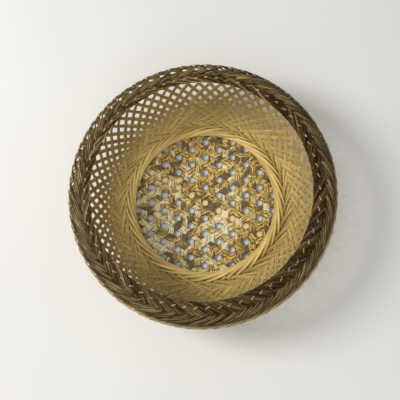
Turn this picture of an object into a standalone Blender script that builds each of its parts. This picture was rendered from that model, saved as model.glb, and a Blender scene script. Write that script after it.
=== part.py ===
"""A round bamboo bowl basket: an open hexagonal floor, a wheel-woven wall and a plaited rim.

The wall and the rim are one weave of 66 strips, each a bundle of three thin splints. Each strip
lies tangent to the ring around the floor, and its two arms climb the bowl to the rim, where all
the ends are plaited together. Here that weave is a row of turned shells, one for each zone of it,
with the true outer shape. The floor is made of its separate strips, laid in three directions,
with one brace strip below them.

Metres, +Z up. The origin is the centre of the foot, on the surface that the basket stands on.
"""

import math

import bpy

# Driving dimensions
BASKET_RADIUS = 0.140  # the widest part of the wall
LIP_RADIUS = 0.1145  # the middle of the rim's inner edge
RING_RADIUS = 0.077  # the round opening in the middle of the wheel weave
BASKET_HEIGHT = 0.080  # to the top of the rim
WIDEST_HEIGHT = 0.058  # where the wall ends and the rim starts to turn in
WALL_THICKNESS = 0.0018
RIM_THICKNESS = 0.0026
RING_THICKNESS = 0.0020
TURN_STEPS = 60  # flats around each turned shell
WALL_STEPS = 5  # flats up each of the wall's two zones
MERGE_DISTANCE = 0.00001

FLOOR_RADIUS = 0.0845  # the floor's strips end under the ring
FLOOR_PITCH = 0.0150  # between neighbouring strips of one direction
FLOOR_STRIPS_EACH_WAY = 10
STRIP_WIDTH = 0.0081
STRIP_THICKNESS = 0.0006
BRACE_WIDTH = 0.0100
BRACE_THICKNESS = 0.0008
GAP = 0.0003  # between pieces that touch

FOOT_INNER_RADIUS = 0.0890
FOOT_OUTER_RADIUS = 0.0930
KNUCKLE_RADIUS = 0.0862  # where the ring stops being level and drops to the foot

# Heights, from the ground up: the brace, three layers of floor strips, and the ring on top
BRACE_BOTTOM = 0.0008
LAYER_STEP = STRIP_THICKNESS + GAP
LAYERS_BOTTOM = BRACE_BOTTOM + BRACE_THICKNESS + GAP
RING_MIDDLE = LAYERS_BOTTOM + 3 * LAYER_STEP + RING_THICKNESS / 2

# The three directions of the floor's strips, as the angle of each strip to +X
FLOOR_DIRECTIONS = (("straight", 90.0), ("rising", 30.0), ("falling", -30.0))
BRACE_ANGLE = -30.0

# The wall's arc, in degrees from level, where the dense weave opens into a lattice
WALL_LATTICE_START = -56.0

# The rim's arc, in degrees up from level, at the edges of its zones
LATTICE_TOP = 39.0
OUTER_ROW_TOP = 64.0
INNER_ROW_TOP = 79.0
LIP_END = 96.0

# Base colour and roughness of each material
COLOURS = {
    "bamboo_pale": ((0.46, 0.31, 0.10), 0.50),
    "bamboo_dark": ((0.12, 0.06, 0.025), 0.42),
    "bamboo_mottled": ((0.42, 0.28, 0.12), 0.45),
    "bamboo_brace": ((0.66, 0.48, 0.24), 0.55),
}


def clear_scene():
    """Remove whatever the open file holds."""
    for obj in list(bpy.data.objects):
        bpy.data.objects.remove(obj, do_unlink=True)


def new_material(name):
    """A plain material in one of the basket's colours."""
    colour, roughness = COLOURS[name]
    material = bpy.data.materials.new(name)
    material.use_nodes = True
    shader = material.node_tree.nodes["Principled BSDF"]
    shader.inputs["Base Color"].default_value = (*colour, 1.0)
    shader.inputs["Roughness"].default_value = roughness
    shader.inputs["Metallic"].default_value = 0.0
    return material


def arc(centre, reach, height, start, stop, count):
    """Points on an ellipse about centre, from angle start to stop, in degrees from level."""
    points = []
    for i in range(count + 1):
        angle = math.radians(start + (stop - start) * i / count)
        points.append((centre[0] + reach * math.cos(angle), centre[1] + height * math.sin(angle)))
    return points


def offset_side(points, distance):
    """The line of points moved sideways by distance, to its right, with mitred corners."""
    moved = []
    for i, (r, z) in enumerate(points):
        before = points[max(i - 1, 0)]
        after = points[min(i + 1, len(points) - 1)]
        normals = []
        for a, b in ((before, (r, z)), ((r, z), after)):
            run, rise = b[0] - a[0], b[1] - a[1]
            length = math.hypot(run, rise)
            if length > 0:
                normals.append((rise / length, -run / length))
        sum_r = sum(n[0] for n in normals)
        sum_z = sum(n[1] for n in normals)
        size = math.hypot(sum_r, sum_z)
        unit = (sum_r / size, sum_z / size)
        mitre = unit[0] * normals[0][0] + unit[1] * normals[0][1]
        moved.append((r + unit[0] * distance / mitre, z + unit[1] * distance / mitre))
    return moved


def add_shell(name, middle, thickness, material, collection):
    """Turn a line that climbs outwards, thickened both ways, about the basket's axis."""
    outer = offset_side(middle, thickness / 2)
    inner = offset_side(middle, -thickness / 2)
    loop = list(reversed(outer)) + inner
    mesh = bpy.data.meshes.new(name)
    edges = [(i, (i + 1) % len(loop)) for i in range(len(loop))]
    mesh.from_pydata([(r, 0.0, z) for r, z in loop], edges, [])
    mesh.materials.append(material)
    shell = bpy.data.objects.new(name, mesh)
    collection.objects.link(shell)
    turn = shell.modifiers.new("turn", "SCREW")
    turn.axis = "Z"
    turn.angle = math.tau
    turn.steps = TURN_STEPS
    turn.render_steps = TURN_STEPS
    turn.use_merge_vertices = True
    turn.merge_threshold = MERGE_DISTANCE
    turn.use_smooth_shade = True
    return shell


def add_strip(name, angle, offset, bottom, width, thickness, material, collection):
    """A flat strip across the floor. Offset is its distance from the middle of the basket."""
    corner = abs(offset) + width / 2
    length = 2 * math.sqrt(FLOOR_RADIUS**2 - corner**2)
    bpy.ops.mesh.primitive_cube_add(size=1.0)
    strip = bpy.context.object
    for owner in list(strip.users_collection):
        owner.objects.unlink(strip)
    collection.objects.link(strip)
    strip.name = name
    strip.scale = (length, width, thickness)
    bpy.ops.object.transform_apply(location=False, rotation=False, scale=True)
    turn = math.radians(angle)
    strip.rotation_euler = (0.0, 0.0, turn)
    strip.location = (-offset * math.sin(turn), offset * math.cos(turn), bottom + thickness / 2)
    strip.data.materials.append(material)
    return strip


def build_floor(collection, mottled, pale):
    """The hexagonal floor: three layers of parallel strips, and the brace under them."""
    add_strip("brace_strip", BRACE_ANGLE, 0.0, BRACE_BOTTOM, BRACE_WIDTH, BRACE_THICKNESS, pale, collection)
    middle = (FLOOR_STRIPS_EACH_WAY - 1) / 2
    for layer, (direction, angle) in enumerate(FLOOR_DIRECTIONS):
        bottom = LAYERS_BOTTOM + layer * LAYER_STEP
        for i in range(FLOOR_STRIPS_EACH_WAY):
            name = f"floor_strip_{direction}_{i + 1:02d}"
            offset = (i - middle) * FLOOR_PITCH
            add_strip(name, angle, offset, bottom, STRIP_WIDTH, STRIP_THICKNESS, mottled, collection)


def rim_zone(start, stop, count):
    """Part of the line that the rim follows, from the widest part of the wall to the lip."""
    centre = (LIP_RADIUS, WIDEST_HEIGHT)
    reach = BASKET_RADIUS - RIM_THICKNESS / 2 - LIP_RADIUS
    height = BASKET_HEIGHT - RIM_THICKNESS / 2 - WIDEST_HEIGHT
    gap_angle = math.degrees(GAP / height)
    return arc(centre, reach, height, start + gap_angle, stop, count)


def build_weave(collection, pale, dark):
    """The wheel weave and the rim, as shells that follow each other with a small gap."""
    ring = [(RING_RADIUS, RING_MIDDLE), (KNUCKLE_RADIUS, RING_MIDDLE)]
    foot = [(FOOT_INNER_RADIUS, RING_THICKNESS / 2), (FOOT_OUTER_RADIUS, RING_THICKNESS / 2)]
    add_shell("ring_weave", ring + foot, RING_THICKNESS, pale, collection)

    # The wall is part of an ellipse whose middle is level with the rim
    rise = BASKET_HEIGHT - RING_THICKNESS / 2
    wall_top = WIDEST_HEIGHT - GAP
    stop = -math.asin((BASKET_HEIGHT - wall_top) / rise)
    run = BASKET_RADIUS - RIM_THICKNESS / 2 - FOOT_OUTER_RADIUS - GAP
    centre = (FOOT_OUTER_RADIUS + GAP, BASKET_HEIGHT)
    reach = run / math.cos(stop)
    dense = arc(centre, reach, rise, -90.0, WALL_LATTICE_START, WALL_STEPS)
    lattice_start = WALL_LATTICE_START + math.degrees(GAP / reach)
    lattice = arc(centre, reach, rise, lattice_start, math.degrees(stop), WALL_STEPS)
    add_shell("wall_dense_weave", dense, WALL_THICKNESS, pale, collection)
    add_shell("wall_lattice", lattice, WALL_THICKNESS, pale, collection)

    zones = (
        ("rim_lattice", 0.0, LATTICE_TOP, 4),
        ("rim_braid_outer_row", LATTICE_TOP, OUTER_ROW_TOP, 3),
        ("rim_braid_inner_row", OUTER_ROW_TOP, INNER_ROW_TOP, 2),
        ("lip_edge", INNER_ROW_TOP, LIP_END, 2),
    )
    for name, start, stop, count in zones:
        add_shell(name, rim_zone(start, stop, count), RIM_THICKNESS, dark, collection)


def main():
    clear_scene()
    collection = bpy.data.collections.new("bamboo_basket")
    bpy.context.scene.collection.children.link(collection)
    pale = new_material("bamboo_pale")
    dark = new_material("bamboo_dark")
    mottled = new_material("bamboo_mottled")
    brace = new_material("bamboo_brace")
    build_floor(collection, mottled, brace)
    build_weave(collection, pale, dark)


main()
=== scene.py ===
"""The bamboo bowl basket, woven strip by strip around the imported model.

66 strips make the wall, and each is a bundle of three thin splints. A strip lies tangent to the ring
around the floor, climbs the bowl as two arms and ends in the rim's plait. 30 wide strips and a brace
make the openwork floor.

Lengths are in millimetres until a mesh is made. A place on the bowl is (m, theta, lift): m is the
distance along the profile from the ring to the lip, theta the angle about the axis, and lift the
distance from the middle of the weave, positive towards the inside of the bowl. On the rim, v is the
distance along the profile from the bowl's widest part. Along a strip, s is the distance from its
middle, negative on the clockwise arm.
"""

import math

import bpy
import numpy as np
from mathutils import Matrix, Vector


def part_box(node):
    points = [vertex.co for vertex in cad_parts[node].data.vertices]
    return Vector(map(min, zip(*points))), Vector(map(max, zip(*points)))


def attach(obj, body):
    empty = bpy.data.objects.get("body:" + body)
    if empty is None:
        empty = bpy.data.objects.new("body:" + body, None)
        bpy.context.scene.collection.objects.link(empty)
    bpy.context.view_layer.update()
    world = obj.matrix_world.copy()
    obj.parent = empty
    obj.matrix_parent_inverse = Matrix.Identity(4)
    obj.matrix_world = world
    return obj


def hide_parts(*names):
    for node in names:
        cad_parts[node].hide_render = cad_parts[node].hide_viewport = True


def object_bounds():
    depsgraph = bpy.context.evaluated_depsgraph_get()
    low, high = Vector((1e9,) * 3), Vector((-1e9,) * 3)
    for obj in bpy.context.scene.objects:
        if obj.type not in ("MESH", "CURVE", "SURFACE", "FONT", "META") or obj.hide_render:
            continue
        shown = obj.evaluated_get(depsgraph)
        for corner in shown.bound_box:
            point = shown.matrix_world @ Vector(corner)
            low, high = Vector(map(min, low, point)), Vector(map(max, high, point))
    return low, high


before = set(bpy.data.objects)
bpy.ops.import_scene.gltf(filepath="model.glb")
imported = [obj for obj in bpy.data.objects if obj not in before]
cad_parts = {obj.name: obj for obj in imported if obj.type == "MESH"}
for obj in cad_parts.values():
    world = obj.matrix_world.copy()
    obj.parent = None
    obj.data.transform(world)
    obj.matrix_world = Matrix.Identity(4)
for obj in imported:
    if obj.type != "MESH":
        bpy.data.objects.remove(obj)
cad_low, cad_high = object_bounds()

MM = 0.001
RANDOM = np.random.default_rng(66)

# The bowl's profile
BASKET_RADIUS = cad_high.x / MM
BASKET_HEIGHT = cad_high.z / MM
WEAVE_INSET = 1.3  # from the outside of the basket to the middle of the weave
WEAVE_RADIUS = BASKET_RADIUS - WEAVE_INSET
RIM_TOP = BASKET_HEIGHT - WEAVE_INSET
RIM_CENTRE_RADIUS = 114.5
RIM_ARC = math.radians(110.0)
WIDEST_HEIGHT = 58.0
RING_HEIGHT = 5.4
RING_LEVEL_RADIUS = 83.0  # the ring is level out to here
RING_MARGIN = 4.0  # the profile starts this far inside the middle of the strips
FOOT_HEIGHT = 0.95
FOOT_RADIUS = 92.5
PROFILE_STEP = 0.25
PROFILE_SMOOTHINGS = 120

# The wall's strips
STRIPS = 66
STEP = 2 * math.pi / STRIPS
RING_LINE = 78.3  # from the axis to the middle of each strip, where it touches the ring
WALL_LINE = 83.4  # what the strips' lean on the wall follows
RING_BEND = 12.0  # they bend from one to the other over this much of the radius
STRAIGHT_REACH = 14.0  # a strip is straight this far each way from its middle
ARM_STEP = 0.5
HURRY_RADIUS = 122.0  # outside this the lean is adjusted, to place the last crossing

# Each strip is a bundle of three thin splints. They lie on each other outside the ring and where they
# enter the plait, and spread out on the wall. Below are the splints' width and the distance between
# them, at distances along the strip.
SPLINTS = (-1, 0, 1)
SPLINT_THICKNESS = 0.26
SPLINT_STEP = 0.15  # between splints that lie on each other
SPLINT_OVERLAP = 0.5  # splints that overlap by this much are a whole step apart
SPLINT_WIDTHS = (
    (0.0, 2.1), (60.0, 2.3), (98.0, 2.35), (125.0, 2.1), (186.0, 1.95), (194.0, 1.65), (207.0, 1.65),
    (214.0, 1.95), (250.0, 1.95),
)
SPLINT_SPREAD = (
    (0.0, 0.85), (24.0, 0.80), (34.0, 0.30), (46.0, 0.22), (56.0, 0.38), (64.0, 0.68), (72.0, 0.98),
    (80.0, 1.12), (90.0, 1.14), (104.0, 1.12), (120.0, 1.00), (134.0, 0.84), (150.0, 0.80), (162.0, 1.2),
    (172.0, 1.50), (185.0, 1.60), (191.0, 0.40), (196.0, 0.18), (207.0, 0.18), (213.0, 0.80), (250.0, 0.80),
)

# Beside the ring the strips lie in pairs, each this share of a step nearer to the other
PAIR_SHIFT = 0.34
PAIR_LIFT = 0.23
PAIR_REACH = 62.0

# The lift of the arms, beside the ring and then at the crossings
STACK_REACH = 15.0  # strips step down past their neighbours this far each way along the ring
STACK_SLOPE = 0.46 / (RING_LINE * STEP)  # 0.46 mm for each neighbour
STACK_LIFT = 1.15
STACK_END = 30.0  # the lift has grown to STACK_LIFT here
STACK_FADE_END = 52.0  # and it has fallen to CROSSING_LIFT here
STACK_FADE = 20.0  # over this distance
CROSSING_LIFT = 0.36
FIRST_CROSSING = 34.0  # crossings nearer to the strip's middle than this have no lift of their own
RING_ROWS = 10  # crossings where the clockwise arms are inside the others
CHANGED_ROWS = 6  # crossings after those where they are outside
JOINING_ROWS = 2  # crossings after those where they are inside, before the wall's plain weave
SLIP_SHARE = 0.06  # of the crossings in and beside the changed rows, which go the other way by mistake
SHINGLE_ROLL = math.radians(7.0)  # outside the ring each strip lies on the next one like a tile
SHINGLE_START = 10.0
SHINGLE_REACH = 40.0

# Each strip's own irregularities, which grow from none over these distances along it
SHIFT_REACH = 45.0
WAVES_REACH = 40.0

# On the shoulder, except where the plait sits further in, the bundles spread out flat
FLAT_START = 184.0
FLAT_END = 215.0
FLAT_FADE = 7.0
FLAT_SPREAD = 1.35
FLAT_WIDTH = 0.4

# The rim's plait. Its heights are distances along the profile from the widest part.
LEAN_START = -2.0  # the arms lean over more and more from here, until just inside the outer row
LAST_CROSSING_HEIGHT = 16.3
ROW_START = 18.3
ROW_MIDDLE = 25.2
LIP_TURN = 35.0
CUT_START = 30.2  # of the trimmed ends
OUTER_RIDGE = 0.55
INNER_RIDGE = 0.45
ROW_LIFT = 0.5
ROW_LEAN = math.radians(70.0)  # between a plaited strip and the profile
INNER_ROW_SLANT = math.radians(24.0)  # between an end in the inner row and the rim
PLAIT_ROLL = math.radians(15.0)  # each plaited strip lies on the next one like a tile
DIVE_REACH = 3.2  # an end dives under the other row over this distance
OUTER_DIVE_START = 1.8  # before the middle between the rows
OUTER_DIVE_LIFT = 1.5
INNER_DIVE_START = 1.6  # past the middle between the rows
INNER_DIVE_LIFT = 1.4
END_WIDTH = 1.95
END_SPREAD = 0.80
UNEVEN = 4.5  # the plait was worked by hand, and sits this much further in towards one side
UNEVEN_SIDE = math.radians(125.0)
UNEVEN_START = 4.0
UNEVEN_FADE = 14.0
CUT_LENGTH = 1.5  # of the trimmed ends, along the profile
CUT_WIDTH = 1.7
CUT_THICKNESS = 0.3
CUT_OUTLINE = (0.5, 0.9, 1.0, 1.0, 1.0, 0.9, 0.7, 0.3)

# The floor's strips
FLOOR_DIRECTIONS = (("straight", 90.0), ("rising", 30.0), ("falling", -30.0))
FLOOR_STRIP_WIDTH = 8.1
FLOOR_STRIP_THICKNESS = 0.55
FLOOR_PITCH = 15.0
FLOOR_MIDDLE_HEIGHT = 2.95
FLOOR_WAVE = 0.42
FLOOR_STRIPS = 10
FLOOR_POINT_STEP = 0.9
BRACE_ANGLE = math.radians(-30.0)
BRACE_WIDTH = 9.8
BRACE_THICKNESS = 0.7
BRACE_HEIGHT = 1.2

# The material slots of the wall's strips
SKIN, FLESH, SHAVED, CUT = range(4)


def smoothstep(x):
    """0 to 1 smoothly as x goes from 0 to 1."""
    x = np.clip(x, 0.0, 1.0)
    return x * x * (3.0 - 2.0 * x)


def read_table(table, at):
    """What a table of (distance, value) pairs says at some distances."""
    distances, values = zip(*table)
    return np.interp(at, distances, values)


class Profile:
    """The line that turns into the bowl's surface, and what is read from it."""

    def __init__(self):
        r = np.linspace(RING_LINE - RING_MARGIN, FOOT_RADIUS, 60)
        drop = smoothstep((r - RING_LEVEL_RADIUS) / (FOOT_RADIUS - 0.5 - RING_LEVEL_RADIUS))
        line = [np.column_stack((r, RING_HEIGHT - (RING_HEIGHT - FOOT_HEIGHT) * drop))]
        # The wall is part of an ellipse whose middle is level with the rim
        rise = BASKET_HEIGHT - FOOT_HEIGHT
        top = math.asin((BASKET_HEIGHT - WIDEST_HEIGHT) / rise)
        reach = (WEAVE_RADIUS - FOOT_RADIUS) / math.cos(top)
        a = np.linspace(-math.pi / 2, -top, 80)[1:]
        line.append(np.column_stack((FOOT_RADIUS + reach * np.cos(a), BASKET_HEIGHT + rise * np.sin(a))))
        a = np.linspace(0.0, RIM_ARC, 60)[1:]
        rim_reach, rim_rise = WEAVE_RADIUS - RIM_CENTRE_RADIUS, RIM_TOP - WIDEST_HEIGHT
        rim = (RIM_CENTRE_RADIUS + rim_reach * np.cos(a), WIDEST_HEIGHT + rim_rise * np.sin(a))
        line.append(np.column_stack(rim))
        line = self.even(np.concatenate(line))
        for _ in range(PROFILE_SMOOTHINGS):
            line[1:-1] = 0.25 * line[:-2] + 0.5 * line[1:-1] + 0.25 * line[2:]
        line = self.even(line)
        self.r, self.z = line[:, 0], line[:, 1]
        self.m = np.arange(len(line)) * PROFILE_STEP
        level = slice(0, 40)  # the first points, where the radius still grows evenly
        self.m -= np.interp(RING_LINE, self.r[level], self.m[level])
        slope_r, slope_z = np.gradient(self.r), np.gradient(self.z)
        size = np.hypot(slope_r, slope_z)
        self.inward_r, self.inward_z = -slope_z / size, slope_r / size
        self.widest = self.m[np.argmax(self.r)]

    @staticmethod
    def even(line):
        """The same line with its points an even step apart."""
        along = np.concatenate(([0.0], np.cumsum(np.hypot(*np.diff(line, axis=0).T))))
        at = np.arange(0.0, along[-1], PROFILE_STEP)
        return np.column_stack([np.interp(at, along, line[:, i]) for i in (0, 1)])

    def radius(self, m):
        return np.interp(m, self.m, self.r)

    def place(self, m, theta, lift):
        """Points and inward normals, in millimetres, at places on the bowl."""
        v = m - self.widest
        up = smoothstep((v - UNEVEN_START) / UNEVEN_FADE) * smoothstep((LIP_TURN - v) / UNEVEN_FADE)
        m = m + UNEVEN * np.cos(theta - UNEVEN_SIDE) * up
        nr, nz = np.interp(m, self.m, self.inward_r), np.interp(m, self.m, self.inward_z)
        size = np.hypot(nr, nz)
        nr, nz = nr / size, nz / size
        r = np.interp(m, self.m, self.r) + lift * nr
        z = np.interp(m, self.m, self.z) + lift * nz
        points = np.column_stack((r * np.cos(theta), r * np.sin(theta), z))
        normals = np.column_stack((nr * np.cos(theta), nr * np.sin(theta), nz))
        return points, normals


PROFILE = Profile()
WIDEST = PROFILE.widest


# Meshes


class Ribbons:
    """Collects flat strips swept along lines into one mesh.

    The skin side faces away from the normals. The skin side, the inner side and the edges each have
    a material slot. The attribute fibre holds the distance along the strip and across it, in
    millimetres, and a number that differs from strip to strip.
    """

    def __init__(self):
        self.verts, self.faces, self.slots, self.fibre = [], [], [], []
        self.count = 0

    def add(
        self, points, normals, width, thickness, seed, start=0.0, skin=SKIN, inner=FLESH, edge=FLESH,
        crown=0.06, roll=0.0, bevel=0.34, sideways=0.0,
    ):
        """Sweeps a strip. Its width, its roll and how far it lies sideways may change along it."""
        points = np.asarray(points, float)
        tangent = np.gradient(points, axis=0)
        tangent /= np.linalg.norm(tangent, axis=1)[:, None]
        side = np.cross(tangent, normals)
        side /= np.linalg.norm(side, axis=1)[:, None]
        up = np.cross(side, tangent)
        roll = np.broadcast_to(np.asarray(roll, float), (len(points),))[:, None]
        side, up = side * np.cos(roll) + up * np.sin(roll), up * np.cos(roll) - side * np.sin(roll)
        points = points + side * np.broadcast_to(sideways, (len(points),))[:, None]
        half = np.broadcast_to(np.asarray(width, float) / 2, (len(points),))
        t, b = thickness / 2, min(0.11, thickness / 4)
        # Across as a share of the half width, a step in from it, and the height, round the section.
        # The edges of the skin side are shaved to a bevel.
        section = (
            (1, -bevel, -t), (1, 0, -t + bevel / 3), (1, 0, t - b), (1, -b, t), (0, 0, t + crown / 2),
            (-1, b, t), (-1, 0, t - b), (-1, 0, -t + bevel / 3), (-1, bevel, -t), (0, 0, -t - crown),
        )
        rings = []
        across = []
        for share, inset, height in section:
            offset = share * half + inset
            rings.append(points + side * offset[:, None] + up * height)
            across.append(offset)
        n, k = len(points), len(section)
        rings = np.stack(rings, axis=1).reshape(-1, 3)
        along = start + np.concatenate(([0.0], np.cumsum(np.linalg.norm(np.diff(points, axis=0), axis=1))))
        fibre = np.stack(
            (np.repeat(along, k), np.stack(across, axis=1).reshape(-1), np.full(n * k, seed)), axis=1
        )
        kinds = [edge, edge, edge, inner, inner, edge, edge, edge, skin, skin]
        i = np.arange(n - 1)[:, None] * k
        j = np.arange(k)[None, :]
        j2 = (j + 1) % k
        quads = np.stack((i + j, i + j2, i + k + j2, i + k + j), axis=2).reshape(-1, 4) + self.count
        self.faces.extend(quads.tolist())
        self.slots.extend(kinds * (n - 1))
        self.faces.append([self.count + q for q in reversed(range(k))])
        self.faces.append([self.count + (n - 1) * k + q for q in range(k)])
        self.slots.extend([edge, edge])
        self.verts.append(rings)
        self.fibre.append(fibre)
        self.count += n * k

    def add_bundle(self, points, normals, seed, start, roll, width, spread, edges):
        """Sweeps three splints that overlap like tiles. Edges holds the slot of each one's edges."""
        width = width * (1.0 + 0.06 * math.sin(40.0 * seed))
        overlap = np.clip((width - spread) / SPLINT_OVERLAP, 0.0, 1.0)
        step = overlap * SPLINT_STEP * np.where(roll < 0.0, -1.0, 1.0)
        for splint, edge in zip(SPLINTS, edges):
            self.add(
                points + normals * splint * step[:, None], normals, width, SPLINT_THICKNESS,
                seed + 0.31 * splint, start, roll=roll, edge=edge, sideways=splint * spread,
            )

    def build(self, name, materials, replaces, slot):
        """Makes the object, which rides on the basket."""
        mesh = bpy.data.meshes.new(name)
        mesh.from_pydata((np.concatenate(self.verts) * MM).tolist(), [], self.faces)
        mesh.polygons.foreach_set("material_index", self.slots)
        for material in materials:
            mesh.materials.append(material)
        fibre = mesh.attributes.new("fibre", "FLOAT_VECTOR", "POINT")
        fibre.data.foreach_set("vector", np.concatenate(self.fibre).astype(np.float32).ravel())
        mesh.shade_smooth()
        mesh.set_sharp_from_angle(angle=math.radians(32.0))
        mesh.update()
        obj = bpy.data.objects.new(name, mesh)
        bpy.context.scene.collection.objects.link(obj)
        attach(obj, "root")
        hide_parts(*replaces)


# Materials. Each set of colours goes from dark to light.

GLOSS = 0.14

FIBRE_STOPS = (0.30, 0.50, 0.68)  # of the fine fibres' noise
FLESH_COLOURS = ((0.52, 0.35, 0.095), (0.87, 0.63, 0.20), (0.97, 0.80, 0.36))
SHAVED_COLOURS = ((0.13, 0.082, 0.030), (0.36, 0.255, 0.11), (0.80, 0.64, 0.36))
CUT_COLOURS = ((0.20, 0.155, 0.085), (0.34, 0.275, 0.16), (0.46, 0.385, 0.24))
BRACE_COLOURS = ((0.78, 0.56, 0.22), (0.93, 0.70, 0.33), (0.97, 0.79, 0.44))
PALE_SKIN_COLOURS = ((0.36, 0.26, 0.10), (0.60, 0.47, 0.22), (0.76, 0.63, 0.36))
DYED_STOPS = (0.32, 0.54, 0.71)
DYED_COLOURS = ((0.011, 0.005, 0.001), (0.042, 0.025, 0.007), (0.20, 0.127, 0.041))
# Painted shade on the wall's flesh towards the overhanging rim
RIM_SHADE_COLOUR = (0.115, 0.060, 0.020)
# Painted shade in the gaps along the edges of the wall's strips
EDGE_SHADE_COLOUR = (0.11, 0.062, 0.018)

GREY_STOPS = (0.3, 0.5, 0.7)
GREY_COLOURS = ((0.070, 0.045, 0.020), (0.165, 0.115, 0.058), (0.30, 0.235, 0.14))
GOLD_STOPS = (0.36, 0.44, 0.52, 0.62)
GOLD_COLOURS = ((0.055, 0.024, 0.004), (0.24, 0.130, 0.025), (0.60, 0.39, 0.085), (0.95, 0.77, 0.33))
CREAM_STOPS = (0.36, 0.44, 0.53)
CREAM_COLOURS = ((0.18, 0.12, 0.05), (0.56, 0.44, 0.21), (0.95, 0.87, 0.58))
# Painted shade along the floor strips' edges
FLOOR_EDGE_SHADE_COLOUR = (0.05, 0.03, 0.012)

CLOTH_STOPS = (0.3, 0.7)
CLOTH_COLOURS = ((0.80, 0.80, 0.80), (0.84, 0.84, 0.835))

# Where the painted shade under the rim and the rim's dye start, and how far they take to grow to their full
# strength
WALL_SHADE_START = 36.0  # along the strip from its middle
WALL_SHADE_REACH = 65.0
RIM_DYE_HEIGHT = 68.0  # above the ground
RIM_DYE_REACH = 5.5
RIM_DYE_WAVER = 8.0


class Shader:
    """A small helper to write a node material from left to right."""

    def __init__(self, name):
        self.material = bpy.data.materials.new(name)
        self.material.use_nodes = True
        self.tree = self.material.node_tree
        self.out = self.tree.nodes["Principled BSDF"]

    def node(self, kind, inputs=(), **settings):
        node = self.tree.nodes.new(kind)
        for key, value in settings.items():
            setattr(node, key, value)
        for key, value in dict(inputs).items():
            if isinstance(value, bpy.types.NodeSocket):
                self.tree.links.new(value, node.inputs[key])
            else:
                node.inputs[key].default_value = value
        return node

    def math(self, operation, a, b=0.0):
        return self.node("ShaderNodeMath", {0: a, 1: b}, operation=operation).outputs[0]

    def plus(self, a, b):
        return self.math("ADD", a, b)

    def times(self, a, b):
        return self.math("MULTIPLY", a, b)

    def linear(self, value, factor, shift):
        """The value times a factor, plus a shift."""
        return self.plus(self.times(value, factor), shift)

    def clamp(self, value):
        return self.node("ShaderNodeClamp", {0: value}).outputs[0]

    def fade(self, value, start, reach):
        """0 where the value is below start, growing to 1 over the reach."""
        return self.clamp(self.times(self.plus(value, -start), 1.0 / reach))

    def vector(self, x, y, z):
        return self.node("ShaderNodeCombineXYZ", {0: x, 1: y, 2: z}).outputs[0]

    def split(self, vector):
        """The three parts of a vector."""
        split = self.node("ShaderNodeSeparateXYZ", {0: vector})
        return split.outputs[0], split.outputs[1], split.outputs[2]

    def position(self):
        """The place in the scene, in metres."""
        return self.split(self.node("ShaderNodeNewGeometry").outputs["Position"])

    def read_fibre(self):
        """Reads the distance along the strip and across it, and the strip's own number."""
        read = self.node("ShaderNodeAttribute", attribute_name="fibre")
        self.along, self.across, self.seed = self.split(read.outputs["Vector"])
        self.offset = self.times(self.seed, 37.0)

    def own_number(self):
        """A number from 0 to 1 that is the same all over one splint."""
        w = self.times(self.seed, 91.7)
        return self.node("ShaderNodeTexWhiteNoise", {"W": w}, noise_dimensions="1D").outputs[0]

    def noise(self, vector, scale, detail, roughness=0.55, distortion=0.0):
        inputs = {"Vector": vector, "Scale": scale, "Detail": detail, "Roughness": roughness}
        inputs["Distortion"] = distortion
        return self.node("ShaderNodeTexNoise", inputs).outputs[0]

    def fibre_noise(self, along, across, detail, roughness=0.55, distortion=0.0):
        """Noise that differs from splint to splint, stretched by its scales along and across them."""
        place = self.vector(self.times(self.along, along), self.times(self.across, across), self.offset)
        return self.noise(place, 1.0, detail, roughness, distortion)

    def ramp(self, value, stops, colours):
        ramp = self.node("ShaderNodeValToRGB", {0: value})
        while len(ramp.color_ramp.elements) < len(stops):
            ramp.color_ramp.elements.new(0.5)
        for element, position, colour in zip(ramp.color_ramp.elements, stops, colours):
            element.position = position
            element.color = (*colour, 1.0)
        return ramp.outputs[0]

    def mix(self, factor, a, b, blend="MIX"):
        mix = self.node("ShaderNodeMix", data_type="RGBA", blend_type=blend)
        for index, value in ((0, factor), (6, a), (7, b)):
            if isinstance(value, bpy.types.NodeSocket):
                self.tree.links.new(value, mix.inputs[index])
            else:
                mix.inputs[index].default_value = value if index == 0 else (*value, 1.0)
        return mix.outputs[2]

    def shade(self, colour, amount):
        """The colour times an amount that changes over the surface."""
        return self.mix(1.0, colour, self.vector(amount, amount, amount), "MULTIPLY")

    def finish(self, colour, roughness, height, depth):
        """Connects the colour, the roughness and the bumps, whose depth is in millimetres."""
        self.out.inputs["Specular IOR Level"].default_value = GLOSS
        self.tree.links.new(colour, self.out.inputs["Base Color"])
        self.tree.links.new(roughness, self.out.inputs["Roughness"])
        bump = self.node("ShaderNodeBump", {"Height": height, "Distance": depth * MM, "Strength": 1.0})
        self.tree.links.new(bump.outputs[0], self.out.inputs["Normal"])
        return self.material


def strip_material(name, colours, tone=0.25, rim_shade=0.0, edge_shade=0.0):
    """Split bamboo: long fine fibres, a tone of its own for each splint, and slow changes along it.

    With rim shade it darkens on its way up the wall, a painted shade under the overhanging rim; with edge
    shade it is darker along its two edges, a painted shade between the strips.
    """
    s = Shader(name)
    s.read_fibre()
    fine = s.fibre_noise(0.06, 3.4, 4.0)
    slow = s.fibre_noise(0.035, 0.2, 2.0)
    amount = s.plus(s.times(s.own_number(), tone), s.times(slow, tone))
    colour = s.shade(s.ramp(fine, FIBRE_STOPS, colours), s.plus(amount, 1.0 - tone))
    if rim_shade:
        # Painted shade: the flesh darkens up the wall, under the overhanging rim
        climb = s.fade(s.math("ABSOLUTE", s.along), WALL_SHADE_START, WALL_SHADE_REACH)
        colour = s.mix(s.times(climb, rim_shade), colour, RIM_SHADE_COLOUR)
    if edge_shade:
        # Painted shade along the strip's edges, where the gaps between strips fall in shade
        edge = s.clamp(s.linear(s.math("ABSOLUTE", s.across), 2.4, -1.5))
        colour = s.mix(s.times(edge, edge_shade), colour, EDGE_SHADE_COLOUR)
    return s.finish(colour, s.linear(fine, 0.2, 0.45), fine, 0.12)


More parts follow.
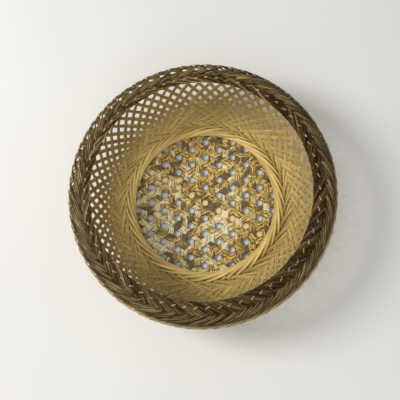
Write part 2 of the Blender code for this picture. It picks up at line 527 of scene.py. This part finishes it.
def skin_material():
    """The outer side: pale on the wall, and stained brown from the shoulder up to the rim.

    Some stretches of each splint have taken a little less of the dye.
    """
    s = Shader("stained_skin")
    s.read_fibre()
    fine = s.fibre_noise(0.06, 3.4, 4.0)
    slow = s.fibre_noise(0.07, 0.3, 2.0)
    own = s.own_number()
    tone = s.linear(s.times(own, own), 2.7, 0.52)
    stained = s.shade(s.ramp(fine, DYED_STOPS, DYED_COLOURS), tone)
    pale = s.ramp(fine, FIBRE_STOPS, PALE_SKIN_COLOURS)
    _, _, height = s.position()
    height = s.plus(height, s.times(slow, RIM_DYE_WAVER * MM))
    dyed = s.fade(height, RIM_DYE_HEIGHT * MM, RIM_DYE_REACH * MM)
    bare = s.clamp(s.linear(slow, 14.0, -8.2))
    dyed = s.times(dyed, s.math("SUBTRACT", 1.0, s.times(bare, 0.2)))
    return s.finish(s.mix(dyed, pale, stained), s.linear(fine, 0.2, 0.48), fine, 0.12)


def mottled_material():
    """Mottled bamboo skin: stretches of smooth grey-brown, gold flecked with brown, and cream.

    There is more cream towards one side of the floor. The strips' edges are darkened with painted shade.
    """
    s = Shader("mottled_skin")
    s.read_fibre()
    x, y, _ = s.position()
    side = s.plus(s.times(x, -0.9), s.times(y, -0.9))
    zone = s.fibre_noise(0.030, 0.05, 2.0)
    flecks = s.fibre_noise(0.20, 1.0, 4.0, roughness=0.6, distortion=0.6)
    fine = s.fibre_noise(0.12, 4.5, 3.0)
    grey = s.ramp(fine, GREY_STOPS, GREY_COLOURS)
    gold = s.ramp(flecks, GOLD_STOPS, GOLD_COLOURS)
    cream = s.ramp(flecks, CREAM_STOPS, CREAM_COLOURS)
    creamy = s.clamp(s.linear(s.plus(zone, side), 14.0, -7.3))
    greyish = s.clamp(s.linear(zone, -22.0, 9.9))
    colour = s.mix(greyish, s.mix(creamy, gold, cream), grey)
    # Painted shade along the strips' edges, beside the holes and where they dip under other strips
    edge = s.clamp(s.linear(s.math("ABSOLUTE", s.across), 0.85, -2.45))
    colour = s.mix(s.times(edge, 0.65), colour, FLOOR_EDGE_SHADE_COLOUR)
    height = s.plus(flecks, s.times(fine, 0.3))
    return s.finish(colour, s.linear(flecks, 0.3, 0.25), height, 0.25)


def cloth_material():
    """A plain pale cloth."""
    s = Shader("pale_cloth")
    place = s.node("ShaderNodeTexCoord").outputs["Object"]
    patches = s.noise(place, 3.0, 2.0)
    grain = s.noise(place, 900.0, 2.0)
    colour = s.ramp(patches, CLOTH_STOPS, CLOTH_COLOURS)
    return s.finish(colour, s.linear(grain, 0.1, 0.85), grain, 0.1)


# The wall's strips


def lean_radius(r):
    """What r * sin(lean) is at a distance r from the axis."""
    return RING_LINE + (WALL_LINE - RING_LINE) * float(smoothstep((r - RING_LINE) / RING_BEND))


def arm_line(hurry=1.0):
    """One arm's line over the bowl, from where it touches the ring: m and theta at even distances.

    A strip laid on a bowl without bending sideways keeps r * sin(lean) the same all the way, so it
    leans over least where the bowl is widest. From there on it leans over more and more, into the
    plait. Hurry changes the lean high on the wall, which sets the height of the last crossing.
    """
    m_list, theta_list = [0.0], [0.0]
    s = 0.0
    m = theta = 0.0
    while m < WIDEST + LIP_TURN:
        s += ARM_STEP
        if s < STRAIGHT_REACH:
            m, theta = math.hypot(RING_LINE, s) - RING_LINE, math.atan2(s, RING_LINE)
        else:
            r = float(PROFILE.radius(m))
            quick = hurry if r > HURRY_RADIUS and m < WIDEST else 1.0
            lean = math.asin(min(lean_radius(r) / r * quick, 0.99))
            turn = np.clip((m - WIDEST - LEAN_START) / (ROW_START + 2.0 - LEAN_START), 0.0, 1.0)
            lean += (ROW_LEAN - lean) * float(turn)
            m += ARM_STEP * math.cos(lean)
            theta += ARM_STEP * math.sin(lean) / r
        m_list.append(m)
        theta_list.append(theta)
    return np.array(m_list), np.array(theta_list)


def crossings_made(line):
    """How many crossings an arm has made at the height where its last crossing should be."""
    return float(np.interp(WIDEST + LAST_CROSSING_HEIGHT, line[0], line[1])) / (STEP / 2)


def settle_arm():
    """The number of the last crossing, and the line that makes it at its height."""
    last = round(crossings_made(arm_line()))
    hurry = 1.0
    for _ in range(6):
        hurry *= 1.0 + (last - crossings_made(arm_line(hurry))) * 0.11
    return last, *arm_line(hurry)


LAST_CROSSING, ARM_M, ARM_THETA = settle_arm()
ARM_S = np.arange(len(ARM_M)) * ARM_STEP


def over(k):
    """+1 where the arms that run clockwise are inside the others, at crossing k from the ring."""
    if k <= RING_ROWS:
        return 1.0
    if k <= RING_ROWS + CHANGED_ROWS:
        return -1.0
    if k <= RING_ROWS + CHANGED_ROWS + JOINING_ROWS or k >= LAST_CROSSING - 2:
        return 1.0
    return 1.0 if (LAST_CROSSING - k) % 2 else -1.0


def all_crossings():
    """Which arm is inside at each crossing along each clockwise arm, with a few slips."""
    inside = np.array([[over(k) for k in range(LAST_CROSSING + 2)] for _ in range(STRIPS)])
    slips = RANDOM.random(inside.shape) < SLIP_SHARE
    slips[:, : RING_ROWS - 2] = False
    slips[:, RING_ROWS + CHANGED_ROWS + JOINING_ROWS :] = False
    inside[slips] *= -1.0
    return inside


OVER = all_crossings()


def arm_lift(number, clockwise):
    """The lift along one arm: past the stack beside the ring, then over and under at each crossing.

    Where a clockwise arm is lifted, the other arm that it crosses is lowered as much.
    """
    sign = 1.0 if clockwise else -1.0
    row_at = float(np.interp(WIDEST + ROW_START, ARM_M, ARM_S))
    knots = [(0.0, 0.0), (STACK_REACH, sign * STACK_SLOPE * STACK_REACH), (STACK_END, sign * STACK_LIFT)]
    for k in range(RING_ROWS - 3, LAST_CROSSING + 1):
        at = float(np.interp(k * STEP / 2, ARM_THETA, ARM_S))
        if at < FIRST_CROSSING or at >= row_at - 1.0:
            continue
        row = number if clockwise else (number + k) % STRIPS
        near_ring = float(smoothstep((STACK_FADE_END - at) / STACK_FADE))
        size = CROSSING_LIFT + (STACK_LIFT - CROSSING_LIFT) * near_ring
        knots.append((at, sign * size * OVER[row, k]))
    knots.append((row_at, sign * ROW_LIFT))
    knots.append((ARM_S[-1] + 1.0, sign * ROW_LIFT))
    lift = np.zeros_like(ARM_S)
    for (s0, l0), (s1, l1) in zip(knots, knots[1:]):
        here = (ARM_S >= s0) & (ARM_S <= s1)
        u = (ARM_S[here] - s0) / (s1 - s0)
        lift[here] = l0 + (l1 - l0) * (u if s0 == 0.0 else smoothstep(u))
    return lift


def row_ridge(v):
    """How far the plait's two rows stand out from the profile."""
    outer = np.sin(np.pi * np.clip((v - ROW_START + 1.5) / (ROW_MIDDLE - ROW_START + 1.5), 0, 1))
    inner = np.sin(np.pi * np.clip((v - ROW_MIDDLE) / (LIP_TURN + 1.0 - ROW_MIDDLE), 0, 1))
    return -OUTER_RIDGE * outer - INNER_RIDGE * inner


def outer_dive(v):
    """How far an end in the outer row has dived under the inner row, from 0 to 1."""
    return smoothstep((v - ROW_MIDDLE + OUTER_DIVE_START) / DIVE_REACH)


def both_arms(number):
    """One strip's s, m, theta and lift, from end to end, with its middle at angle 0.

    The clockwise arm ends under the plait. The other one is plaited on from there.
    """
    hidden = np.searchsorted(ARM_M, WIDEST + ROW_START + 4.0)
    cw, ccw = slice(0, hidden, 4), slice(0, None, 4)
    s = np.concatenate((-ARM_S[cw][:0:-1], ARM_S[ccw]))
    m = np.concatenate((ARM_M[cw][:0:-1], ARM_M[ccw]))
    theta = np.concatenate((-ARM_THETA[cw][:0:-1], ARM_THETA[ccw]))
    lift = np.concatenate((arm_lift(number, True)[cw][:0:-1], arm_lift(number, False)[ccw]))
    return s, m, theta, lift


def splint_layout(s, theta, phase):
    """The splints' width and the distance between them, all along a strip."""
    spread = read_table(SPLINT_SPREAD, np.abs(s))
    spread = spread * (1.0 + 0.10 * np.sin(s / 17.0 + phase))
    width = read_table(SPLINT_WIDTHS, np.abs(s))
    flat = smoothstep((np.abs(s) - FLAT_START) / FLAT_FADE) * smoothstep((FLAT_END - np.abs(s)) / FLAT_FADE)
    flat = flat * (1.0 - smoothstep((np.cos(theta - UNEVEN_SIDE) - 0.45) / 0.35))
    return width + FLAT_WIDTH * flat, spread + FLAT_SPREAD * flat


def wall_strip(number):
    """One strip up to the end of its two arms, and its own number."""
    seed = RANDOM.random()
    phases = RANDOM.uniform(0.0, 2 * math.pi, 4)
    shift = RANDOM.normal(0.0, 0.03, 2) * STEP
    s, m, theta, lift = both_arms(number)
    # Neighbours sit in pairs beside the ring and spread out evenly up the wall
    partner = 1 if number % 2 else -1
    near = np.exp(-((s / PAIR_REACH) ** 4))
    lift = lift + partner * PAIR_LIFT * near
    theta = theta + partner * PAIR_SHIFT * STEP * near
    theta = theta + np.where(s < 0, shift[0], shift[1]) * smoothstep(np.abs(s) / SHIFT_REACH)
    # Small waves, sideways and in the lift
    far = smoothstep(np.abs(s) / WAVES_REACH)
    wobble = 0.20 * np.sin(s / 21.0 + phases[0]) + 0.12 * np.sin(s / 9.5 + phases[1])
    theta = theta + far * wobble / PROFILE.radius(m)
    lift = lift + far * 0.05 * np.sin(s / 14.0 + phases[2])
    # The end of the arm that is plaited
    v = m - WIDEST
    plaited = (s > 0) * smoothstep((v - ROW_START + 0.5) / 3.0)
    dive = (s > 0) * outer_dive(v)
    under = OUTER_DIVE_LIFT - 0.6 * smoothstep((v - 30) / 5)
    lift = lift + plaited * (row_ridge(v) * (1 - dive) + dive * under)
    shingled = np.sin(np.pi * np.clip((np.abs(s) - SHINGLE_START) / SHINGLE_REACH, 0, 1))
    roll = -SHINGLE_ROLL * shingled * np.sign(s)
    roll = roll + PLAIT_ROLL * plaited * (1 - dive)
    theta = number * STEP + theta
    width, spread = splint_layout(s, theta, phases[3])
    points, normals = PROFILE.place(m, theta, lift)
    ribbons = Ribbons()
    ribbons.add_bundle(points, normals, seed, s[0], roll, width, spread, (SHAVED, SKIN, SKIN))
    return ribbons, seed


def plait_line(theta0, v, lift):
    """Points and normals along a plaited end that leans over by the rows' lean."""
    m = WIDEST + v
    r = PROFILE.radius(m)
    dv = np.gradient(v)
    turn = np.abs(dv) * np.tan(ROW_LEAN)
    theta = theta0 + np.concatenate(([0.0], np.cumsum(0.5 * (turn[1:] / r[1:] + turn[:-1] / r[:-1]))))
    return PROFILE.place(m, theta, lift)


def outer_row_end(ribbons, theta0, seed, edges):
    """The other arm's end, in the outer row, between its neighbours and a little lower."""
    v = np.linspace(ROW_START - 1.0, ROW_MIDDLE + 4.0, 26)
    dive = outer_dive(v)
    lift = -0.05 + row_ridge(v) * (1 - dive) + OUTER_DIVE_LIFT * dive
    points, normals = plait_line(theta0, v, lift)
    ribbons.add_bundle(points, normals, seed, 250.0, PLAIT_ROLL * (1 - dive), END_WIDTH, END_SPREAD, edges)


def inner_row_end(ribbons, theta0, seed, level, edges):
    """An end that comes back from the lip across the inner row, and under the outer row."""
    turn_in = np.linspace(0.0, 1.0, 10)
    v_in = LIP_TURN - 4.0 + 4.0 * np.sin(turn_in * math.pi / 2)
    back = np.concatenate((1.2 * np.linspace(0.05, 1, 8) ** 2, np.linspace(1.8, LIP_TURN - 21.0, 26)))
    v = np.concatenate((v_in, LIP_TURN - back))
    r = PROFILE.radius(WIDEST + v)
    # The way round the rim: quick at the turn, then at the row's slant
    across_row = np.linspace(1.4, LIP_TURN - 22.2, 26) / math.tan(INNER_ROW_SLANT)
    x = np.concatenate((np.linspace(0.0, 8.0, 10), np.linspace(8.8, 14.0, 8), 14.0 + across_row))
    dive = smoothstep((ROW_MIDDLE + INNER_DIVE_START - v) / DIVE_REACH)
    lift = level * (1 - dive) + row_ridge(v) * (1 - dive) + INNER_DIVE_LIFT * dive
    lift[:10] += 1.5 * (1.0 - turn_in) ** 1.5
    theta = theta0 + np.concatenate(([0.0], np.cumsum(np.diff(x) / r[1:])))
    points, normals = PROFILE.place(WIDEST + v, theta, lift)
    ribbons.add_bundle(points, normals, seed, 300.0, -PLAIT_ROLL * (1 - dive), END_WIDTH, END_SPREAD, edges)


def cut_end(ribbons, theta0, seed):
    """The strip's trimmed end, which shows the pale wood on the inner row."""
    count = len(CUT_OUTLINE)
    v = np.linspace(CUT_START, CUT_START + CUT_LENGTH, count) + RANDOM.normal(0.0, 0.3)
    lift = -1.45 + 0.25 * np.linspace(0, 1, count)
    points, normals = plait_line(theta0, v, lift)
    widths = CUT_WIDTH * np.array(CUT_OUTLINE)
    ribbons.add(points, normals, widths, CUT_THICKNESS, seed, 420.0, skin=CUT, edge=CUT)


def weave_wall(skin, flesh, shaved, cut):
    """All 66 strips, each an object of its own."""
    zones = ("ring_weave", "wall_dense_weave", "wall_lattice", "rim_lattice")
    zones += ("rim_braid_outer_row", "rim_braid_inner_row", "lip_edge")
    row_theta = float(np.interp(WIDEST + ROW_START - 1.0, ARM_M, ARM_THETA))
    for number in range(STRIPS):
        ribbons, seed = wall_strip(number)
        start = number * STEP + row_theta + STEP / 2 + RANDOM.normal(0.0, 0.04) * STEP
        outer_row_end(ribbons, start, seed + 1, (SHAVED if RANDOM.random() < 0.6 else SKIN, SKIN, SKIN))
        lip = number * STEP + RANDOM.normal(0.0, 0.05) * STEP
        edges = (SKIN, SKIN, SHAVED if RANDOM.random() < 0.45 else SKIN)
        inner_row_end(ribbons, lip, seed + 2, -0.45, edges)
        inner_row_end(ribbons, lip + STEP / 2, seed + 3, 0.0, (SKIN, SKIN, SKIN))
        cut_end(ribbons, lip, seed + 4)
        ribbons.build(f"wall_strip_{number + 1:02d}", (skin, flesh, shaved, cut), zones, "bamboo_pale")


# The floor


def floor_strip(direction, index, mottled, flesh):
    """One strip of the floor. It goes over and under the strips of the other two directions."""
    name, angle = FLOOR_DIRECTIONS[direction]
    node = f"floor_strip_{name}_{index + 1:02d}"
    low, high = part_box(node)
    centre = (low + high) / 2 / MM
    turn = math.radians(angle)
    along = np.array((math.cos(turn), math.sin(turn), 0.0))
    span = (high - low) / MM
    if name == "straight":
        length = span.y
    else:
        length = (span.x - FLOOR_STRIP_WIDTH * abs(along[1])) / abs(along[0])
    count = int(length / FLOOR_POINT_STEP)
    x = np.linspace(-length / 2, length / 2, count)
    points = np.array((centre.x, centre.y, 0.0)) + np.outer(x, along)
    # It is highest where it crosses the strips of the next direction
    _, other = FLOOR_DIRECTIONS[(direction + 1) % len(FLOOR_DIRECTIONS)]
    across = np.array((-math.sin(math.radians(other)), math.cos(math.radians(other)), 0.0))
    wave = np.cos(2 * math.pi * ((points @ across) / FLOOR_PITCH - 0.5))
    wave = np.sign(wave) * np.abs(wave) ** 0.75
    points[:, 2] = FLOOR_MIDDLE_HEIGHT + FLOOR_WAVE * wave
    normals = np.tile((0.0, 0.0, -1.0), (count, 1))
    width = FLOOR_STRIP_WIDTH * (1.0 + RANDOM.normal(0.0, 0.02))
    seed = RANDOM.random() * 9
    ribbons = Ribbons()
    ribbons.add(points, normals, width, FLOOR_STRIP_THICKNESS, seed, edge=SKIN, crown=0.1, bevel=0.15)
    ribbons.build(f"mat_strip_{name}_{index + 1:02d}", (mottled, flesh), (node,), "bamboo_mottled")


def brace_strip(material):
    """The plain strip under the middle of the floor."""
    low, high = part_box("brace_strip")
    half = (high.x - low.x) / MM / 2 / math.cos(BRACE_ANGLE) - 3.0
    x = np.linspace(-half, half, 60)
    along = np.array((math.cos(BRACE_ANGLE), math.sin(BRACE_ANGLE), 0.0))
    points = np.outer(x, along)
    points[:, 2] = BRACE_HEIGHT
    normals = np.tile((0.0, 0.0, -1.0), (len(x), 1))
    ribbons = Ribbons()
    ribbons.add(points, normals, BRACE_WIDTH, BRACE_THICKNESS, seed=3.3, inner=SKIN, edge=SKIN, crown=0.1)
    ribbons.build("brace", (material,), ("brace_strip",), "bamboo_brace")


# The set, in metres: cloth, light and camera

WARM_WHITE = (1.0, 0.985, 0.95)
SKY_COLOUR = (1.0, 0.985, 0.94, 1.0)
SKY_STRENGTH = 0.40
CAMERA_PLACE = (0.043, -0.1435, 0.7654)
CAMERA_TILT = math.radians(10.9)
CAMERA_SIDE_TILT = math.radians(3.56)
CAMERA_LENS = 63.0


def add_floor():
    bpy.ops.mesh.primitive_plane_add(size=40.0)
    cloth = bpy.context.object
    cloth.name = "cloth"
    cloth.data.materials.append(cloth_material())


def add_light(name, location, size, power):
    """A round lamp that points at the basket."""
    data = bpy.data.lights.new(name, "AREA")
    data.shape = "DISK"
    data.size = size
    data.energy = power
    data.color = WARM_WHITE
    light = bpy.data.objects.new(name, data)
    light.location = location
    light.rotation_euler = (-Vector(location)).to_track_quat("-Z", "Y").to_euler()
    bpy.context.scene.collection.objects.link(light)


def add_camera():
    """Almost straight above, a little towards -Y and +X."""
    data = bpy.data.cameras.new("camera")
    data.sensor_width = 36.0
    data.lens = CAMERA_LENS
    camera = bpy.data.objects.new("camera", data)
    turn = Matrix.Rotation(CAMERA_TILT, 4, "X") @ Matrix.Rotation(CAMERA_SIDE_TILT, 4, "Y")
    camera.matrix_world = Matrix.Translation(CAMERA_PLACE) @ turn
    bpy.context.scene.collection.objects.link(camera)
    bpy.context.scene.camera = camera


def set_stage():
    """The cloth, a key light from the left, a weaker one from the front, and an even sky."""
    add_floor()
    add_light("key", (-1.35, 0.2, 1.3), 0.8, 24.0)
    add_light("fill", (-0.1, -1.0, 1.6), 1.6, 6.5)
    world = bpy.data.worlds.new("soft_white")
    world.use_nodes = True
    background = world.node_tree.nodes["Background"]
    background.inputs[0].default_value = SKY_COLOUR
    background.inputs[1].default_value = SKY_STRENGTH
    bpy.context.scene.world = world
    bpy.context.scene.view_settings.view_transform = "Standard"
    add_camera()


def main():
    # The flesh gets painted shade up the wall and along the strips' edges
    flesh = strip_material("pale_flesh", FLESH_COLOURS, tone=0.42, rim_shade=0.52, edge_shade=0.7)
    shaved = strip_material("shaved_edge", SHAVED_COLOURS, tone=0.6)
    cut = strip_material("cut_end", CUT_COLOURS, tone=0.6)
    pale = strip_material("plain_brace", BRACE_COLOURS)
    mottled = mottled_material()
    weave_wall(skin_material(), flesh, shaved, cut)
    for direction in range(len(FLOOR_DIRECTIONS)):
        for index in range(FLOOR_STRIPS):
            floor_strip(direction, index, mottled, flesh)
    brace_strip(pale)
    set_stage()


main()
